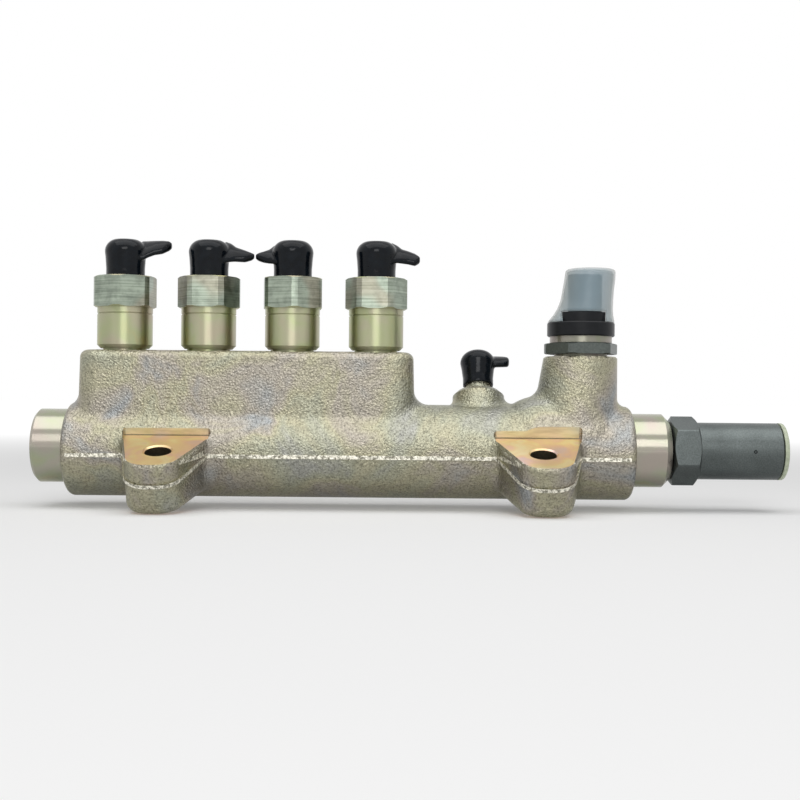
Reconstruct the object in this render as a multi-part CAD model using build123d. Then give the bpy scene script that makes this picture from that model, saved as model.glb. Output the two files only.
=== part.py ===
from build123d import *
from math import cos, radians, sin, tan
import os

os.makedirs("parts", exist_ok=True)

# Fuel rail of a diesel engine. Sizes in mm. X runs along the rail from damper 1, Z along the damper
# axes, both counted from the main bore. Every piece is moved at the end so that the origin lies in
# the left mounting hole, on the seat under the ear. What sits on another piece takes its place from
# it: the TOP, LEFT and FLOOR values worked out below are sums of the lengths set here.

# clearances
THREAD_CLEAR = 0.05
SLIDE_CLEAR = 0.02
SEAT_GAP = 0.05
CAP_CLEAR = 0.05
SLOT_CLEAR = 0.25

# small edges
EDGE = 0.8
FINE_EDGE = 0.5
THREAD_EDGE = 1.0

# forged bar
BORE_D = 10.0
BAR_R = 22.3
BAR_DROP = 1.4
BAR_LEFT = -25.2
BAR_RIGHT = 241.5
BAR_SHOULDER_R = 3.0
SEAM_WIDTH = 1.8
SEAM_HEIGHT = 0.7
SEAM_DOWN = 3.6

# turned ends
SPIGOT_R = 17.5
SPIGOT_LEFT = -40.5
SPIGOT_RIGHT = 259.3
LEFT_CHAMFER = 1.5
RIGHT_CHAMFER = 3.0

# damper block
PITCH = 40.0
DAMPERS = 4
BLOCK_LEFT = -19.5
BLOCK_RIGHT = 137.9
BLOCK_TOP = 45.5
BLOCK_HALF = 15.6
BLOCK_CORNER_R = 11.0
BLOCK_EDGE_R = 3.6
BLOCK_DRAFT = 1.5
BLOCK_BLEND_R = 7.0

# inlet boss, and the raised crown at the foot of the tower
INLET_X = 169.8
INLET_LEAN = 22.0
INLET_BOSS_R = 12.5
INLET_BOSS_TOP = 28.5
INLET_BOSS_CHAMFER = 2.0
INLET_NOZZLE_R = 6.0
INLET_NOZZLE_LENGTH = 16.5
INLET_DRILL_R = 1.8
INLET_CONE = 2.6
CROWN_LEFT = 198.0
CROWN_RIGHT = 219.0
CROWN_TOP = 25.5
CROWN_R = 21.8
CROWN_BLEND_R = 4.0
INLET_BLEND_R = 4.0

# sensor tower
TOWER_X = 217.9
TOWER_R = 17.4
TOWER_TOP = 44.4
TOWER_TAPER = 5.0
TOWER_LEAN = 5.0
TOWER_STOCK = 3.0
TOWER_BLEND_R = 7.0
TOWER_PORT_R = 9.0
TOWER_PORT_DEPTH = 17.4

# mounting ears
EAR_TILT = 20.0
EAR_LEFT_X = 23.3
EAR_RIGHT_X = 196.4
EAR_HOLE_Y = -36.2
EAR_HOLE_Z = -0.6
EAR_THICK = 23.5
EAR_HOLE_R = 6.0
EAR_HOLE_CHAMFER = 0.7
EAR_TIP = 17.4
EAR_ROOT = 30.0
EAR_STEEP = 14.0
EAR_STEEP_GAP = 15.4
EAR_OBLIQUE = 21.2
EAR_OBLIQUE_GAP = 14.1
EAR_CORNER_R = 11.0
EAR_EDGE_R = 4.0
EAR_ALLOWANCE = 1.5
EAR_BLEND_R = 6.0
EAR_SEAM_DEPTH = 8.4
EAR_SEAM_TILT = 5.4
MILL_BACK = 18.9
MILL_SIDE = -0.5
MILL_CORNER_R = 1.5
MILL_CLEAR = 12.0
SEAT_BACK = 9.0
SEAT_SIDE = 4.0

# flow dampers
SOCKET_R = 11.0
SOCKET_DEPTH = 23.5
SOCKET_CHAMFER = 0.6
CROSS_DRILL_R = 1.5
SPOTFACE_R = 14.5
SPOTFACE_DEPTH = 0.4
NECK_R = 10.2
NECK_LENGTH = 1.0
COLLAR_R = 13.0
COLLAR_CHAMFER = 1.6
COLLAR_LENGTH = 19.5
GROOVE_DOWN = 3.1
GROOVE_WIDTH = 0.8
GROOVE_DEPTH = 0.4
HEX_AF = 27.0
HEX_CORNER_R = 14.8
HEX_CHAMFER = 1.0
HEX_LENGTH = 14.7
HEX_TURNS = (25.0, 0.8, 38.5, -2.0)
STUB_R = 6.8
STUB_LENGTH = 15.5
OUTLET_R = 1.5
OUTLET_CONE_R = 4.2
DAMPER_BORE_R = 5.25
VALVE_SEAT_R = 2.5
VALVE_SEAT_DEPTH = 1.5
STOPPER_LENGTH = 4.0
STOPPER_HOLE_R = 2.0
PISTON_SKIRT = 14.0
PISTON_CHAMFER = 0.4
PISTON_STEM_R = 3.0
PISTON_NOSE = 2.0
PISTON_FEED_DEPTH = 4.0
PISTON_THROTTLE_R = 0.6
PISTON_THROTTLE_UP = 3.0
PISTON_STROKE = 3.5

# springs
DAMPER_WIRE = 0.9
DAMPER_SPRING_R = 4.25
DAMPER_SPRING_LENGTH = 20.0
DAMPER_COILS = 5
LIMITER_WIRE = 2.0
LIMITER_SPRING_R = 4.9
LIMITER_SPRING_LENGTH = 28.5
LIMITER_COILS = 6

# dust caps
CAP_BASE_R = 9.1
CAP_BULB_R = 9.9
CAP_LENGTH = 18.0
CAP_BULB_DOWN = 5.7
CAP_SKIRT = 3.0
CAP_TOP_WALL = 1.6
CAP_CROWN = 0.45
TAB_REACHES = (22.3, 21.5, 17.8, 20.9)
TAB_TURNS = (8.0, 0.0, 180.0, 0.0)
TAB_WIDTH = 9.0
TAB_THICK = 2.8
TAB_TIP_R = 3.0
TAB_TWIST = 35.0
TAB_DROP = 8.0
INLET_CAP_BASE_R = 7.4
INLET_CAP_BULB_R = 8.9
INLET_CAP_LENGTH = 18.0
INLET_CAP_OVERLAP = 12.5
INLET_TAB_REACH = 15.5

# rail pressure sensor
SENSOR_AF = 32.0
SENSOR_CORNER_R = 17.6
SENSOR_CHAMFER = 0.6
SENSOR_TURN = 8.0
SEAL_R = 12.6
SEAL_THICK = 1.2
SENSOR_HEX_LENGTH = 5.0
SENSOR_NECK_R = 13.5
SENSOR_NECK_LENGTH = 0.4
SENSOR_COLLAR_R = 14.75
SENSOR_COLLAR_LENGTH = 3.0
SENSOR_CHAMBER_R = 11.5
SENSOR_CHAMBER_DEPTH = 5.5
SENSOR_LEDGE_R = 9.5
SENSOR_LEDGE_WIDTH = 1.5
BOARD_DEPTH = 4.5
BOARD_THICK = 1.2
BOARD_CLEAR = 0.3
ELEMENT_R = 4.0
ELEMENT_BORE_R = 1.5
ELEMENT_SINK = 2.0
ELEMENT_LENGTH = 5.0
ELEMENT_SKIN = 0.4
RING_R = 16.0
RING_LENGTH = 6.7
PLUG_BASE_R = 9.8
PLUG_BASE_LENGTH = 4.5
FOOT_WIDTH = 20.0
FOOT_R = 14.0
PLUG_SHIFT = 1.8
PLUG_WIDTH = 15.8
PLUG_DEPTH = 11.0
PLUG_LENGTH = 18.3
PLUG_CORNER_R = 4.0
PLUG_WALL = 1.6
PLUG_FLOOR_UP = 2.8
PLUG_ROOM = 3.0
LATCH_WIDTH = 4.0
LATCH_THICK = 1.2
LATCH_LENGTH = 5.0
LATCH_DOWN = 5.5
TERMINALS = 3
TERMINAL_PITCH = 3.5
TERMINAL_WIDTH = 0.9
TERMINAL_DOWN = 4.5
COVER_BASE_R = 15.8
COVER_WAIST_R = 13.0
COVER_WAIST_UP = 7.8
COVER_WAIST_LEAN = 2.0
COVER_TOP_R = 12.2
COVER_WALL = 1.0
COVER_ROOM = 1.7
COVER_LEAN = 4.2
COVER_EDGE_R = 1.5

# pressure limiter
LIMITER_PORT_R = 9.0
LIMITER_PORT_DEPTH = 21.3
LIMITER_PORT_CONE = 2.0
LIMITER_NECK_R = 8.3
LIMITER_GAP = 0.9
LIMITER_AF = 29.0
LIMITER_CORNER_R = 16.5
LIMITER_HEX_LENGTH = 12.9
LIMITER_HEX_TURN = -7.5
LIMITER_HEX_CHAMFER = 2.6
LIMITER_BODY_R = 13.55
LIMITER_BORE_R = 6.5
LEAK_OFF_R = 5.5
LEAK_OFF_LENGTH = 16.3
SEAT_LENGTH = 9.0
SEAT_ORIFICE_R = 1.2
VALVE_STEM_R = 2.5
VALVE_HEAD_ROOM = 4.0
VALVE_FLANGE_THICK = 2.0
VALVE_FLANGE_CLEAR = 0.6
VALVE_SPIGOT_R = 2.9
VALVE_SPIGOT_LENGTH = 6.0
GUIDE_ROOM = 5.0
GUIDE_LENGTH = 8.0
GUIDE_HOLES = 3
GUIDE_HOLE_R = 0.9
SHIM_THICK = 1.5
SHIM_HOLE_R = 3.0
OUTLET_PLUG_R = 13.6
OUTLET_PLUG_THICK = 2.1
OUTLET_PLUG_EDGE_R = 0.7
OUTLET_PLUG_ROOM = 3.8
OUTLET_PLUG_WALL = 1.2

# heights of the dampers
SOCKET_FLOOR = BLOCK_TOP - SOCKET_DEPTH
STOPPER_TOP = SOCKET_FLOOR + STOPPER_LENGTH
PISTON_SHOULDER = STOPPER_TOP + PISTON_SKIRT
DAMPER_SHOULDER = PISTON_SHOULDER + DAMPER_SPRING_LENGTH
COLLAR_BASE = BLOCK_TOP + NECK_LENGTH
COLLAR_TOP = COLLAR_BASE + COLLAR_LENGTH
HEX_TOP = COLLAR_TOP + HEX_LENGTH
STUB_TOP = HEX_TOP + STUB_LENGTH
CAP_TOP = HEX_TOP + CAP_LENGTH

# heights of the inlet, along its own axis
INLET_NOZZLE_TOP = INLET_BOSS_TOP + INLET_NOZZLE_LENGTH
INLET_CAP_BASE = INLET_NOZZLE_TOP - INLET_CAP_OVERLAP

# heights of the sensor
TOWER_PORT_FLOOR = TOWER_TOP - TOWER_PORT_DEPTH
SENSOR_HEX_BASE = TOWER_TOP + SEAL_THICK
SENSOR_HEX_TOP = SENSOR_HEX_BASE + SENSOR_HEX_LENGTH
SENSOR_COLLAR_BASE = SENSOR_HEX_TOP + SENSOR_NECK_LENGTH
SENSOR_COLLAR_TOP = SENSOR_COLLAR_BASE + SENSOR_COLLAR_LENGTH
BOARD_Z = SENSOR_COLLAR_TOP - BOARD_DEPTH
CHAMBER_FLOOR = BOARD_Z - SENSOR_CHAMBER_DEPTH
ELEMENT_BASE = CHAMBER_FLOOR - ELEMENT_SINK
RING_TOP = SENSOR_COLLAR_TOP + RING_LENGTH
PLUG_BASE_TOP = RING_TOP + PLUG_BASE_LENGTH
PLUG_FLOOR = PLUG_BASE_TOP + PLUG_FLOOR_UP
PLUG_TOP = PLUG_BASE_TOP + PLUG_LENGTH
TERMINAL_TOP = PLUG_TOP - TERMINAL_DOWN
COVER_TOP = PLUG_TOP + COVER_ROOM + COVER_WALL

# places of the limiter, along the rail
LIMITER_PORT_FLOOR = SPIGOT_RIGHT - LIMITER_PORT_DEPTH
SEAT_RIGHT = LIMITER_PORT_FLOOR + SEAT_LENGTH
GUIDE_LEFT = SEAT_RIGHT + GUIDE_ROOM
GUIDE_RIGHT = GUIDE_LEFT + GUIDE_LENGTH
VALVE_FLANGE = GUIDE_RIGHT + VALVE_HEAD_ROOM
LIMITER_SPRING_LEFT = VALVE_FLANGE + VALVE_FLANGE_THICK
SHIM_LEFT = LIMITER_SPRING_LEFT + LIMITER_SPRING_LENGTH
LIMITER_SHOULDER = SHIM_LEFT + SHIM_THICK
LIMITER_RIGHT = LIMITER_SHOULDER + LEAK_OFF_LENGTH
LIMITER_HEX_LEFT = SPIGOT_RIGHT + LIMITER_GAP
LIMITER_HEX_RIGHT = LIMITER_HEX_LEFT + LIMITER_HEX_LENGTH


def turned(points):
    """Solid of revolution about Z from (radius, height) corners."""
    profile = make_face(Plane.XZ * Polyline(*points, close=True))
    return revolve(profile, Axis.Z)


def rod(radius, low, high):
    """Cylinder on Z between two heights."""
    return Pos(0, 0, (low + high) / 2) * Cylinder(radius, high - low)


def hexagon(across, corner_r, low, high, chamfer_width, turn):
    """Hexagon with its corners turned down and 30 degree chamfers."""
    rise = chamfer_width * tan(radians(30))
    blank = turned([
        (0, low),
        (corner_r - chamfer_width, low),
        (corner_r, low + rise),
        (corner_r, high - rise),
        (corner_r - chamfer_width, high),
        (0, high),
    ])
    prism = extrude(RegularPolygon(across / 2, 6, major_radius=False), amount=high - low)
    return blank & Pos(0, 0, low) * Rot(0, 0, turn) * prism


def along_rail(shape):
    """Lays a piece built on Z along the rail."""
    return Rot(0, 90, 0) * shape


def ear_plane(x):
    """Milled face of an ear, with its hole at the origin and Y toward the rail."""
    normal = (0, -sin(radians(EAR_TILT)), cos(radians(EAR_TILT)))
    return Plane(origin=(x, EAR_HOLE_Y, EAR_HOLE_Z), x_dir=(1, 0, 0), z_dir=normal)


def ear_plan(margin, tip, back):
    """Corners of an ear seen on its face: steep flank on the left, oblique one on the right."""
    steep = tan(radians(EAR_STEEP))
    oblique = tan(radians(EAR_OBLIQUE))
    left = (EAR_STEEP_GAP + margin) / cos(radians(EAR_STEEP))
    right = (EAR_OBLIQUE_GAP + margin) / cos(radians(EAR_OBLIQUE))
    return Polyline(
        (-left - back * steep, back),
        (-left + tip * steep, -tip),
        (right - tip * oblique, -tip),
        (right + back * oblique, back),
        close=True,
    )


def ear_outline():
    """Outline of an ear with its two rounded corners."""
    outline = make_face(ear_plan(0, EAR_TIP, EAR_ROOT))
    return fillet(outline.vertices().sort_by(Axis.Y)[:2], EAR_CORNER_R)


def ear_lug():
    """Forged lug of an ear with its rounded edges, before it is milled."""
    lug = extrude(ear_outline(), amount=EAR_THICK + 2 * EAR_ALLOWANCE)
    rims = lug.faces().sort_by(Axis.Z)[0].edges() + lug.faces().sort_by(Axis.Z)[-1].edges()
    rims = rims.filter_by(lambda edge: edge.center().Y < EAR_ROOT - 1)
    lug = fillet(rims, EAR_EDGE_R)
    return Pos(0, 0, -EAR_THICK - EAR_ALLOWANCE) * lug


def ear_seam():
    """Low ridge where the dies met, around an ear."""
    ridge = extrude(offset(ear_outline(), SEAM_HEIGHT), amount=SEAM_WIDTH)
    ridge = Rot(EAR_SEAM_TILT, 0, 0) * Pos(0, 0, -SEAM_WIDTH / 2) * ridge
    return Pos(0, 0, -EAR_SEAM_DEPTH) * ridge


def ear_milling():
    """Metal that the milling cutter takes off above an ear."""
    plan = make_face(ear_plan(MILL_SIDE, EAR_TIP + MILL_SIDE, MILL_BACK))
    plan = fillet(plan.vertices().sort_by(Axis.Y)[-2:], MILL_CORNER_R)
    return extrude(plan, amount=MILL_CLEAR)


def ear_seat_milling():
    """Metal taken off below an ear to make its seat."""
    plan = make_face(ear_plan(SEAT_SIDE, EAR_TIP + SEAT_SIDE, SEAT_BACK))
    return Pos(0, 0, -EAR_THICK) * extrude(plan, amount=-MILL_CLEAR)


def ear_hole():
    """Bolt hole of an ear, chamfered at the bolt head."""
    return turned([
        (0, -EAR_THICK - 2),
        (EAR_HOLE_R, -EAR_THICK - 2),
        (EAR_HOLE_R, -EAR_HOLE_CHAMFER),
        (EAR_HOLE_R + EAR_HOLE_CHAMFER, 0),
        (EAR_HOLE_R + EAR_HOLE_CHAMFER, 2),
        (0, 2),
    ])


def placed_ears(shape):
    """The same ear feature at the left ear and, mirrored, at the right one."""
    left = ear_plane(EAR_LEFT_X) * shape
    right = ear_plane(EAR_RIGHT_X) * mirror(shape, Plane.YZ)
    return [left, right]


def forged_bar():
    """Round bar of the forging with its rounded shoulders."""
    bar = Cylinder(BAR_R, BAR_RIGHT - BAR_LEFT)
    bar = fillet(bar.edges().filter_by(GeomType.CIRCLE), BAR_SHOULDER_R)
    return Pos((BAR_LEFT + BAR_RIGHT) / 2, 0, -BAR_DROP) * along_rail(bar)


def damper_block():
    """Raised block that carries the dampers, with draft and a rounded top edge."""
    spread = 2 * BLOCK_TOP * tan(radians(BLOCK_DRAFT))
    length = BLOCK_RIGHT - BLOCK_LEFT + spread
    plan = RectangleRounded(length, 2 * BLOCK_HALF + spread, BLOCK_CORNER_R)
    block = extrude(plan, amount=BLOCK_TOP, taper=BLOCK_DRAFT)
    block = fillet(block.faces().sort_by(Axis.Z)[-1].edges(), BLOCK_EDGE_R)
    return Pos((BLOCK_LEFT + BLOCK_RIGHT) / 2, 0, 0) * block


def crown():
    """Raised back of the bar under the tower, round at either end."""
    back = along_rail(rod(CROWN_R, CROWN_LEFT, CROWN_RIGHT))
    ends = [Pos(x, 0, 0) * Sphere(CROWN_R) for x in (CROWN_LEFT, CROWN_RIGHT)]
    return Pos(0, 0, CROWN_TOP - CROWN_R) * (back + ends)


def sensor_tower():
    """Round tower, wider at its foot and leaning, with a level milled top."""
    slope = tan(radians(TOWER_TAPER))
    height = TOWER_TOP + TOWER_STOCK
    cone = Cone(TOWER_R + TOWER_TOP * slope, TOWER_R - TOWER_STOCK * slope, height)
    cone = Rot(0, TOWER_LEAN, 0) * Pos(0, 0, TOWER_STOCK - height / 2) * cone
    cone = split(cone, Plane.XY, keep=Keep.BOTTOM)
    cone = chamfer(cone.edges().group_by(Axis.Z)[-1], EDGE)
    return Pos(TOWER_X, 0, TOWER_TOP) * cone


def inlet_frame(shape):
    """Stands a piece built on Z on the inlet axis, which leans back."""
    return Pos(INLET_X, 0, 0) * Rot(-INLET_LEAN, 0, 0) * shape


def inlet_boss():
    """Forged boss and turned nozzle of the inlet."""
    profile = [
        (0, 0),
        (INLET_BOSS_R, 0),
        (INLET_BOSS_R, INLET_BOSS_TOP - INLET_BOSS_CHAMFER),
        (INLET_BOSS_R - INLET_BOSS_CHAMFER, INLET_BOSS_TOP),
        (INLET_NOZZLE_R, INLET_BOSS_TOP),
        (INLET_NOZZLE_R, INLET_NOZZLE_TOP - EDGE),
        (INLET_NOZZLE_R - EDGE, INLET_NOZZLE_TOP),
        (0, INLET_NOZZLE_TOP),
    ]
    return inlet_frame(turned(profile))


def parting_seam():
    """Low ridge where the dies met, along both sides of the bar."""
    length = BAR_RIGHT - BAR_LEFT - 2 * BAR_SHOULDER_R
    ridge = Box(length, 2 * (BAR_R + SEAM_HEIGHT), SEAM_WIDTH)
    return Pos((BAR_LEFT + BAR_RIGHT) / 2, 0, -SEAM_DOWN) * ridge


def blended(body, feature, radius):
    """Joins a feature to the body with a fillet along the seam."""
    whole = body + feature
    return fillet(new_edges(body, feature, combined=whole), radius)


def forging():
    """The forging before it is machined."""
    body = blended(forged_bar(), damper_block(), BLOCK_BLEND_R)
    for lug in placed_ears(ear_lug()):
        body = blended(body, lug, EAR_BLEND_R)
    tower = blended(crown(), sensor_tower(), TOWER_BLEND_R)
    body = blended(body, tower, CROWN_BLEND_R)
    for ridge in placed_ears(ear_seam()):
        body = body + ridge
    return blended(body + parting_seam(), inlet_boss(), INLET_BLEND_R)


def spigots():
    """Turned ends of the rail."""
    profile = [
        (0, SPIGOT_LEFT),
        (SPIGOT_R - LEFT_CHAMFER, SPIGOT_LEFT),
        (SPIGOT_R, SPIGOT_LEFT + LEFT_CHAMFER),
        (SPIGOT_R, SPIGOT_RIGHT - RIGHT_CHAMFER),
        (SPIGOT_R - RIGHT_CHAMFER, SPIGOT_RIGHT),
        (0, SPIGOT_RIGHT),
    ]
    return along_rail(turned(profile))


def main_bore():
    """Main bore, drilled from the limiter end and blind at the other."""
    tip = BORE_D / 2
    return along_rail(turned([
        (0, BLOCK_LEFT - tip),
        (tip, BLOCK_LEFT),
        (tip, LIMITER_PORT_FLOOR - LIMITER_PORT_CONE),
        (LIMITER_PORT_R - LIMITER_PORT_CONE, LIMITER_PORT_FLOOR),
        (LIMITER_PORT_R, LIMITER_PORT_FLOOR),
        (LIMITER_PORT_R, SPIGOT_RIGHT - EDGE),
        (LIMITER_PORT_R + EDGE, SPIGOT_RIGHT),
        (0, SPIGOT_RIGHT),
    ]))


def damper_socket():
    """Spot face, threaded socket and cross drilling of one damper."""
    face = BLOCK_TOP - SPOTFACE_DEPTH
    return turned([
        (0, 0),
        (CROSS_DRILL_R, 0),
        (CROSS_DRILL_R, SOCKET_FLOOR),
        (SOCKET_R, SOCKET_FLOOR),
        (SOCKET_R, face - SOCKET_CHAMFER),
        (SOCKET_R + SOCKET_CHAMFER, face),
        (SPOTFACE_R, face),
        (SPOTFACE_R, BLOCK_TOP),
        (0, BLOCK_TOP),
    ])


def sensor_port():
    """Threaded port and cross drilling of the sensor."""
    return Pos(TOWER_X, 0, 0) * turned([
        (0, 0),
        (CROSS_DRILL_R, 0),
        (CROSS_DRILL_R, TOWER_PORT_FLOOR),
        (TOWER_PORT_R, TOWER_PORT_FLOOR),
        (TOWER_PORT_R, TOWER_TOP),
        (0, TOWER_TOP),
    ])


def inlet_drilling():
    """Inlet passage with the cone that the pipe seals on."""
    return inlet_frame(turned([
        (0, 0),
        (INLET_DRILL_R, 0),
        (INLET_DRILL_R, INLET_NOZZLE_TOP - INLET_CONE),
        (INLET_DRILL_R + INLET_CONE, INLET_NOZZLE_TOP),
        (0, INLET_NOZZLE_TOP),
    ]))


def rail_body():
    """Forging with its machined faces, ports and drillings."""
    body = forging() + spigots()
    for cutter in (ear_milling(), ear_seat_milling(), ear_hole()):
        for placed in placed_ears(cutter):
            body = body - placed
    body = body - main_bore() - sensor_port() - inlet_drilling()
    for index in range(DAMPERS):
        body = body - Pos(index * PITCH, 0, 0) * damper_socket()
    return body


def damper_body(turn):
    """Turned damper housing with shank, collar, hexagon and outlet stub."""
    shank_r = SOCKET_R - THREAD_CLEAR
    shank_low = SOCKET_FLOOR + SEAT_GAP
    groove_z = COLLAR_TOP - GROOVE_DOWN
    shank = turned([
        (0, shank_low),
        (shank_r - THREAD_EDGE, shank_low),
        (shank_r, shank_low + THREAD_EDGE),
        (shank_r, BLOCK_TOP - THREAD_EDGE - SPOTFACE_DEPTH),
        (NECK_R, BLOCK_TOP - SPOTFACE_DEPTH),
        (NECK_R, COLLAR_BASE),
        (COLLAR_R - COLLAR_CHAMFER, COLLAR_BASE),
        (COLLAR_R, COLLAR_BASE + COLLAR_CHAMFER),
        (COLLAR_R, groove_z - GROOVE_WIDTH / 2),
        (COLLAR_R - GROOVE_DEPTH, groove_z),
        (COLLAR_R, groove_z + GROOVE_WIDTH / 2),
        (COLLAR_R, COLLAR_TOP),
        (STUB_R, COLLAR_TOP),
        (STUB_R, STUB_TOP - EDGE),
        (STUB_R - EDGE, STUB_TOP),
        (0, STUB_TOP),
    ])
    passage = turned([
        (0, SOCKET_FLOOR),
        (DAMPER_BORE_R, SOCKET_FLOOR),
        (DAMPER_BORE_R, DAMPER_SHOULDER),
        (VALVE_SEAT_R, DAMPER_SHOULDER),
        (OUTLET_R, DAMPER_SHOULDER + VALVE_SEAT_DEPTH),
        (OUTLET_R, STUB_TOP - OUTLET_CONE_R + OUTLET_R),
        (OUTLET_CONE_R, STUB_TOP),
        (0, STUB_TOP),
    ])
    nut = hexagon(HEX_AF, HEX_CORNER_R, COLLAR_TOP, HEX_TOP, HEX_CHAMFER, turn)
    return shank + nut - passage


def damper_stopper():
    """Ring pressed into the foot of a damper, which the piston rests on."""
    low = SOCKET_FLOOR + SEAT_GAP
    return rod(DAMPER_BORE_R, low, STOPPER_TOP) - rod(STOPPER_HOLE_R, low, STOPPER_TOP)


def damper_piston():
    """Piston with its feed bore, throttle and cone nose."""
    radius = DAMPER_BORE_R - SLIDE_CLEAR
    nose_r = PISTON_STEM_R - PISTON_NOSE
    cone_base = DAMPER_SHOULDER - PISTON_STROKE - (PISTON_STEM_R - VALVE_SEAT_R)
    blank = turned([
        (0, STOPPER_TOP),
        (radius - PISTON_CHAMFER, STOPPER_TOP),
        (radius, STOPPER_TOP + PISTON_CHAMFER),
        (radius, PISTON_SHOULDER),
        (PISTON_STEM_R, PISTON_SHOULDER),
        (PISTON_STEM_R, cone_base),
        (nose_r, cone_base + PISTON_NOSE),
        (0, cone_base + PISTON_NOSE),
    ])
    feed = rod(STOPPER_HOLE_R, STOPPER_TOP, PISTON_SHOULDER + PISTON_FEED_DEPTH)
    throttle = Rot(90, 0, 0) * Cylinder(PISTON_THROTTLE_R, 2 * radius)
    return blank - feed - Pos(0, 0, PISTON_SHOULDER + PISTON_THROTTLE_UP) * throttle


def coil(radius, wire, low, high, turns):
    """Compression spring on Z that fills the height between its two seats."""
    path = Helix((high - low - wire) / turns, high - low - wire, radius)
    section = Plane(path @ 0, z_dir=path % 0) * RegularPolygon(wire / 2, 6)
    return Pos(0, 0, low + wire / 2) * sweep(section, path=path, is_frenet=True)


def cap_tab(reach, inner_r):
    """Finger tab of a dust cap: a thick blade, tilted about its own length."""
    blade = Pos(reach / 2, 0) * RectangleRounded(reach, TAB_WIDTH, TAB_TIP_R)
    blade = Pos(0, 0, -TAB_THICK / 2) * extrude(blade, amount=TAB_THICK)
    return Rot(TAB_TWIST, 0, 0) * blade - rod(inner_r, -TAB_WIDTH, TAB_WIDTH)


def dust_cap(base_r, bulb_r, inner_r, low, top, reach, turn):
    """Rubber cap with a finger tab."""
    bulb = top - CAP_BULB_DOWN
    flat_r = bulb_r * CAP_CROWN
    wall = Polyline(
        (bulb_r, bulb),
        (base_r, low + CAP_SKIRT),
        (base_r, low),
        (inner_r, low),
        (inner_r, top - CAP_TOP_WALL),
        (0, top - CAP_TOP_WALL),
        (0, top),
        (flat_r, top),
    )
    dome = JernArc(start=(flat_r, top), tangent=(1, 0), radius=bulb_r - flat_r, arc_size=-90)
    side = Line(dome @ 1, (bulb_r, bulb))
    shell = revolve(make_face(Plane.XZ * (wall + dome + side)), Axis.Z)
    tab = Pos(0, 0, top - TAB_DROP) * cap_tab(reach, inner_r + CAP_TOP_WALL)
    return Rot(0, 0, turn) * (shell + tab)


def sensor_body():
    """Steel sensor body: shank, hexagon, neck and collar, hollow for the measuring cell."""
    shank_r = TOWER_PORT_R - THREAD_CLEAR
    shank_low = TOWER_PORT_FLOOR + SEAT_GAP
    blank = turned([
        (0, shank_low),
        (shank_r - THREAD_EDGE, shank_low),
        (shank_r, shank_low + THREAD_EDGE),
        (shank_r, SENSOR_HEX_BASE),
        (SENSOR_NECK_R, SENSOR_HEX_BASE),
        (SENSOR_NECK_R, SENSOR_COLLAR_BASE),
        (SENSOR_COLLAR_R, SENSOR_COLLAR_BASE),
        (SENSOR_COLLAR_R, SENSOR_COLLAR_TOP),
        (0, SENSOR_COLLAR_TOP),
    ])
    nut = hexagon(
        SENSOR_AF, SENSOR_CORNER_R, SENSOR_HEX_BASE, SENSOR_HEX_TOP, SENSOR_CHAMFER, SENSOR_TURN
    )
    inner_r = SENSOR_LEDGE_R - SENSOR_LEDGE_WIDTH
    chamber = turned([
        (0, TOWER_PORT_FLOOR),
        (ELEMENT_BORE_R, TOWER_PORT_FLOOR),
        (ELEMENT_BORE_R, ELEMENT_BASE),
        (ELEMENT_R, ELEMENT_BASE),
        (ELEMENT_R, CHAMBER_FLOOR),
        (inner_r, CHAMBER_FLOOR),
        (inner_r, BOARD_Z - SENSOR_LEDGE_WIDTH),
        (SENSOR_LEDGE_R, BOARD_Z),
        (SENSOR_CHAMBER_R, BOARD_Z),
        (SENSOR_CHAMBER_R, SENSOR_COLLAR_TOP),
        (0, SENSOR_COLLAR_TOP),
    ])
    return Pos(TOWER_X, 0, 0) * (blank + nut - chamber)


def sensor_seal():
    """Sealing washer between tower and sensor."""
    inner_r = TOWER_PORT_R + CAP_CLEAR
    ring = rod(SEAL_R, TOWER_TOP, SENSOR_HEX_BASE) - rod(inner_r, TOWER_TOP, SENSOR_HEX_BASE)
    return Pos(TOWER_X, 0, 0) * ring


def sensor_element():
    """Steel thimble whose thin top bends with the rail pressure."""
    top = ELEMENT_BASE + ELEMENT_LENGTH
    thimble = turned([
        (ELEMENT_BORE_R, ELEMENT_BASE),
        (ELEMENT_R, ELEMENT_BASE),
        (ELEMENT_R, top),
        (0, top),
        (0, top - ELEMENT_SKIN),
        (ELEMENT_BORE_R, top - 2 * ELEMENT_SKIN),
    ])
    return Pos(TOWER_X, 0, 0) * thimble


def terminal_spots():
    """Places of the contact pins across the connector."""
    return Pos(TOWER_X + PLUG_SHIFT, 0, 0) * GridLocations(TERMINAL_PITCH, 1, TERMINALS, 1)


def circuit_board():
    """Round board with a hole for each contact pin."""
    board = Pos(TOWER_X, 0, 0) * rod(SENSOR_CHAMBER_R - BOARD_CLEAR, BOARD_Z, BOARD_Z + BOARD_THICK)
    width = TERMINAL_WIDTH + 2 * SEAT_GAP
    hole = Pos(0, 0, BOARD_Z + BOARD_THICK / 2) * Box(width, width, BOARD_THICK)
    return board - [spot * hole for spot in terminal_spots()]


def sensor_terminals():
    """Square contact pins, from the board to the connector socket."""
    pin = Box(TERMINAL_WIDTH, TERMINAL_WIDTH, TERMINAL_TOP - BOARD_Z)
    return [spot * Pos(0, 0, (BOARD_Z + TERMINAL_TOP) / 2) * pin for spot in terminal_spots()]


def connector_foot(radius, clearance):
    """Stop at the front of the connector, which looks out of the slot in the cover."""
    width = FOOT_WIDTH + 2 * clearance
    height = PLUG_BASE_LENGTH + clearance
    block = Pos(0, -radius / 2, RING_TOP + height / 2) * Box(width, radius, height)
    return block & rod(radius, RING_TOP, PLUG_BASE_TOP + clearance)


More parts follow.
